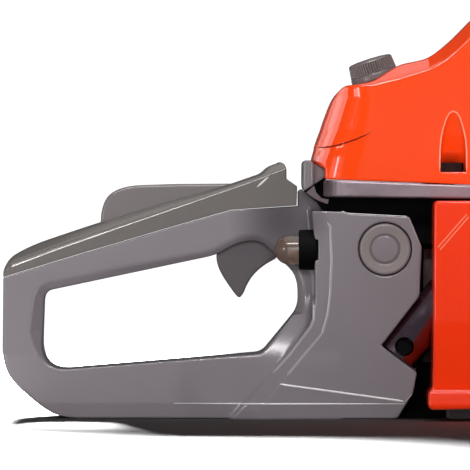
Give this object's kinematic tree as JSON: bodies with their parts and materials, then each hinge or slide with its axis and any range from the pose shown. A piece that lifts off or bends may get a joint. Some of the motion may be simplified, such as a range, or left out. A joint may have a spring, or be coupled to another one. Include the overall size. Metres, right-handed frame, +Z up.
{
  "type": "petrol chainsaw",
  "caption": "Petrol chainsaw with a closed rear handle, an orange engine cover, a wrap-round front handle, a hand guard and a guide bar with its chain.",
  "frame": {"origin": "on the base plane, straight below the crankshaft's axis, in the rear grip's middle plane", "axes": "+X forward along the guide bar, +Y to the operator's left, +Z up; the clutch side and bar are on -Y"},
  "size_m": [0.866, 0.2335, 0.292],
  "materials": {
    "grey_plastic": "satin moulded nylon, mid grey",
    "cover_grey": "satin moulded nylon, warm grey",
    "orange_plastic": "glossy orange-red shell",
    "black_plastic": "fine-grained black moulding",
    "rubber": "matt black rubber",
    "cast_alloy": "bead-blasted casting",
    "steel": "machined steel",
    "dark_steel": "oiled dark steel",
    "chrome_tube": "bright plated tube",
    "amber": "translucent soft amber plastic",
    "brass": "turned brass",
    "red_plastic": "glossy red plastic",
    "felt": "pale felted filter medium",
    "cord": "braided cord",
    "porcelain": "white glazed insulator"
  },
  "bodies": {
    "powerhead": {"rear_handle": "grey_plastic", "grip_cover": "cover_grey", "vibration_cap_right": "cover_grey", "vibration_cap_left": "cover_grey", "primer_base": "black_plastic", "front_handle": "chrome_tube", "front_handle_screw": "dark_steel", "front_handle_sleeve": "rubber", "airbox_base": "cast_alloy", "airbox_rear": "grey_plastic", "intake_partition": "black_plastic", "linkage_plate": "steel", "air_filter": "felt", "carburettor": "cast_alloy", "intake_boot": "rubber", "top_cover": "orange_plastic", "crankcase_right": "cast_alloy", "crankcase_left": "cast_alloy", "cylinder": "cast_alloy", "spark_plug": "porcelain", "spark_plug_boot": "rubber", "piston": "cast_alloy", "piston_pin": "steel", "connecting_rod": "steel", "muffler": "dark_steel", "brake_band": "steel", "guide_bar": "steel", "saw_chain": "steel", "bar_stud_rear": "steel", "bar_stud_front": "steel", "bar_nut_rear": "steel", "bar_nut_front": "steel", "clutch_cover": "orange_plastic", "spiked_bumper": "dark_steel", "ignition_coil": "black_plastic", "starter_housing": "orange_plastic", "recoil_spring": "dark_steel", "starter_rope": "cord", "guard_pivot_bolt": "steel"},
    "throttle_trigger": {"throttle_trigger": "grey_plastic"},
    "throttle_lockout": {"throttle_lockout": "grey_plastic"},
    "throttle_plate": {"throttle_plate": "brass"},
    "choke_knob": {"choke_knob": "black_plastic"},
    "choke_plate": {"choke_plate": "brass"},
    "stop_switch": {"stop_switch": "red_plastic"},
    "primer_bulb": {"primer_bulb": "amber"},
    "fuel_cap_lift": {"fuel_cap_seal": "rubber"},
    "fuel_cap": {"fuel_cap": "black_plastic"},
    "oil_cap_lift": {"oil_cap_seal": "rubber"},
    "oil_cap": {"oil_cap": "black_plastic"},
    "cover_knob": {"cover_knob": "cover_grey"},
    "hand_guard": {"hand_guard": "black_plastic"},
    "starter_grip": {"starter_grip": "black_plastic"},
    "starter_pulley": {"starter_pulley": "black_plastic"},
    "crank": {"crankshaft_right": "steel", "crankshaft_left": "steel", "flywheel": "cast_alloy", "clutch_hub": "dark_steel"},
    "drum": {"clutch_drum": "dark_steel"},
    "nose_sprocket": {"nose_sprocket": "dark_steel"}
  },
  "joints": [
    {"name": "throttle_trigger_squeeze", "type": "hinge", "parent": "powerhead", "child": "throttle_trigger", "pos_m": [-0.17, 0, 0.11], "axis": [0, 1, 0], "range_deg": [0, 12], "stiffness_Nm_per_rad": 0.3, "springref_deg": -20.05},
    {"name": "throttle_lockout_press", "type": "hinge", "parent": "powerhead", "child": "throttle_lockout", "pos_m": [-0.174, 0, 0.13], "axis": [0, 1, 0], "range_deg": [-6, 0], "stiffness_Nm_per_rad": 0.3, "springref_deg": 17.19},
    {"name": "throttle_plate_turn", "type": "hinge", "parent": "powerhead", "child": "throttle_plate", "pos_m": [-0.063, 0, 0.154], "axis": [0, 1, 0], "range_deg": [0, 75]},
    {"name": "choke_pull", "type": "slide", "parent": "powerhead", "child": "choke_knob", "axis": [0, 1, 0], "range_m": [0, 0.01]},
    {"name": "choke_plate_turn", "type": "hinge", "parent": "powerhead", "child": "choke_plate", "pos_m": [-0.078, 0, 0.154], "axis": [0, 1, 0], "range_deg": [0, 75]},
    {"name": "stop_switch_rock", "type": "hinge", "parent": "powerhead", "child": "stop_switch", "pos_m": [-0.1415, 0.032, 0.096], "axis": [0, 1, 0], "range_deg": [-8, 8]},
    {"name": "primer_press", "type": "slide", "parent": "powerhead", "child": "primer_bulb", "axis": [1, 0, 0], "range_m": [0, 0.006], "stiffness_N_per_m": 400, "springref_m": -0.002},
    {"name": "fuel_cap_lift", "type": "slide", "parent": "powerhead", "child": "fuel_cap_lift", "axis": [0, 1, 0], "range_m": [0, 0.01]},
    {"name": "fuel_cap_turn", "type": "hinge", "parent": "fuel_cap_lift", "child": "fuel_cap", "pos_m": [-0.113, 0.052, 0.056], "axis": [0, 1, 0], "range_deg": [0, 900]},
    {"name": "oil_cap_lift", "type": "slide", "parent": "powerhead", "child": "oil_cap_lift", "axis": [0, 1, 0], "range_m": [0, 0.01]},
    {"name": "oil_cap_turn", "type": "hinge", "parent": "oil_cap_lift", "child": "oil_cap", "pos_m": [0.074, 0.052, 0.028], "axis": [0, 1, 0], "range_deg": [0, 900]},
    {"name": "cover_knob_turn", "type": "hinge", "parent": "powerhead", "child": "cover_knob", "pos_m": [-0.1062, 0, 0.1951], "axis": [-0.3007, 0, 0.9537], "continuous": true},
    {"name": "hand_guard_tilt", "type": "hinge", "parent": "powerhead", "child": "hand_guard", "pos_m": [0.046, 0, 0.132], "axis": [0, 1, 0], "range_deg": [0, 16]},
    {"name": "starter_pull", "type": "slide", "parent": "powerhead", "child": "starter_grip", "axis": [0, 0, 1], "range_m": [0, 0.7], "stiffness_N_per_m": 10, "springref_m": -1, "deforming": ["starter_rope"]},
    {"name": "starter_pulley_spin", "type": "hinge", "parent": "powerhead", "child": "starter_pulley", "pos_m": [0, 0.074, 0.062], "axis": [0, 1, 0], "range_deg": [0, 1545]},
    {"name": "crank_spin", "type": "hinge", "parent": "powerhead", "child": "crank", "pos_m": [0, 0, 0.062], "axis": [0, 1, 0], "continuous": true},
    {"name": "drum_spin", "type": "hinge", "parent": "powerhead", "child": "drum", "pos_m": [0, -0.06, 0.062], "axis": [0, 1, 0], "continuous": true},
    {"name": "nose_sprocket_spin", "type": "hinge", "parent": "powerhead", "child": "nose_sprocket", "pos_m": [0.512, -0.045, 0.062], "axis": [0, 1, 0], "continuous": true}
  ],
  "couplings": [
    {"joint": "throttle_plate_turn", "follows": "throttle_trigger_squeeze", "ratio": 6.25},
    {"joint": "choke_plate_turn", "follows": "choke_pull", "rad_per_m": 130.9},
    {"joint": "fuel_cap_turn", "follows": "fuel_cap_lift", "rad_per_m": 1570.8},
    {"joint": "oil_cap_turn", "follows": "oil_cap_lift", "rad_per_m": 1570.8},
    {"joint": "starter_pulley_spin", "follows": "starter_pull", "rad_per_m": 38.462},
    {"joint": "nose_sprocket_spin", "follows": "drum_spin", "ratio": 0.7}
  ]
}
